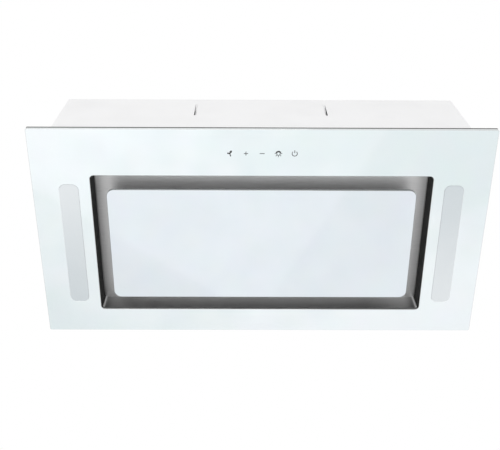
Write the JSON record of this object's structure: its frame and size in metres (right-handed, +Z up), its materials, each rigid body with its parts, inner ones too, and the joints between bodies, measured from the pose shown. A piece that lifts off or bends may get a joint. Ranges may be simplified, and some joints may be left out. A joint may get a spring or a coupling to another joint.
{
  "type": "ceiling range hood",
  "caption": "Ceiling extractor hood with a flat white glass fascia, perimeter suction gap round a hinged centre panel, two light strips, touch keys and a hidden steel body with a duct collar.",
  "frame": {"origin": "centre of the ceiling plane, the plane on which the gasket of the fascia seats", "axes": "+X to the right along the long side of the fascia as read from below with the keys nearest, +Y from the row of keys to the back, +Z up into the ceiling"},
  "size_m": [0.9, 0.455, 0.322],
  "materials": {
    "white_glass": "tempered glass, white enamel fired on its back, polished edge",
    "light_lens": "opal frosted lens",
    "symbol_ink": "dark grey printed symbols",
    "black_steel": "satin black powder coat",
    "gasket_foam": "closed-cell foam strip",
    "stainless": "brushed stainless sheet",
    "white_steel": "satin white powder coat",
    "zinc_steel": "bright zinc plate",
    "filter_aluminium": "satin aluminium",
    "board_white": "white solder mask on aluminium",
    "board_green": "green circuit board with its parts",
    "black_plastic": "moulded black plastic",
    "grey_plastic": "moulded grey plastic",
    "white_plastic": "moulded white plastic",
    "soft_rubber": "soft rubber",
    "magnet_metal": "nickel plate",
    "motor_metal": "die-cast and sheet motor case",
    "lead_sleeve": "light grey lead sleeve"
  },
  "bodies": {
    "hood": {"fascia_glass": "white_glass", "touch_symbols": "symbol_ink", "fascia_carrier": "black_steel", "ceiling_gasket": "gasket_foam", "touch_board": "board_green", "ir_receiver": "black_plastic", "touch_box": "white_plastic", "light_lens_left": "light_lens", "light_lens_right": "light_lens", "led_boards": "board_white", "light_tray_left": "zinc_steel", "light_tray_right": "zinc_steel", "recess_wall": "stainless", "filter_deck": "stainless", "filter_frame_left": "filter_aluminium", "filter_mesh_left": "filter_aluminium", "filter_frame_right": "filter_aluminium", "filter_mesh_right": "filter_aluminium", "hinge_brackets": "zinc_steel", "hinge_pins": "zinc_steel", "catch_holders": "black_plastic", "catch_magnets": "magnet_metal", "body_front": "white_steel", "body_back": "white_steel", "body_side_left": "white_steel", "body_side_right": "white_steel", "body_rivets": "zinc_steel", "top_plate": "white_steel", "hanger_brackets": "zinc_steel", "body_screws": "zinc_steel", "small_screws": "zinc_steel", "duct_collar": "black_plastic", "flap_pin": "zinc_steel", "scroll_left": "black_plastic", "scroll_right": "black_plastic", "motor_case": "motor_metal", "motor_plate": "zinc_steel", "motor_mounts": "soft_rubber", "motor_capacitor": "white_plastic", "capacitor_nut": "zinc_steel", "cable_gland": "grey_plastic", "gland_nut": "grey_plastic", "control_box": "grey_plastic", "control_lid": "grey_plastic", "control_board": "board_green", "terminal_block": "white_plastic", "lamp_driver": "white_plastic", "touch_lead": "lead_sleeve", "motor_lead": "lead_sleeve", "light_leads": "lead_sleeve"},
    "centre_panel": {"panel_glass": "white_glass", "panel_tray": "white_steel", "hinge_arms": "zinc_steel", "panel_strikers": "zinc_steel"},
    "latch_left": {"filter_latch_left": "grey_plastic"},
    "latch_right": {"filter_latch_right": "grey_plastic"},
    "fan_wheel": {"impeller": "black_plastic", "motor_shaft": "zinc_steel"},
    "flap_front": {"flap_front": "black_plastic"},
    "flap_back": {"flap_back": "black_plastic"}
  },
  "joints": [
    {"name": "panel_hinge", "type": "hinge", "parent": "hood", "child": "centre_panel", "pos_m": [0, 0.136, 0.008], "axis": [1, 0, 0], "range_deg": [0, 90]},
    {"name": "latch_left_slide", "type": "slide", "parent": "hood", "child": "latch_left", "axis": [0, 1, 0], "range_m": [0, 0.007], "stiffness_N_per_m": 500, "springref_m": -0.008},
    {"name": "latch_right_slide", "type": "slide", "parent": "hood", "child": "latch_right", "axis": [0, 1, 0], "range_m": [0, 0.007], "stiffness_N_per_m": 500, "springref_m": -0.008},
    {"name": "fan_spin", "type": "hinge", "parent": "hood", "child": "fan_wheel", "pos_m": [0, -0.021, 0.15], "axis": [1, 0, 0], "continuous": true},
    {"name": "flap_front_hinge", "type": "hinge", "parent": "hood", "child": "flap_front", "pos_m": [0, 0.04, 0.266], "axis": [-1, 0, 0], "range_deg": [0, 75]},
    {"name": "flap_back_hinge", "type": "hinge", "parent": "hood", "child": "flap_back", "pos_m": [0, 0.04, 0.266], "axis": [1, 0, 0], "range_deg": [0, 75]}
  ]
}
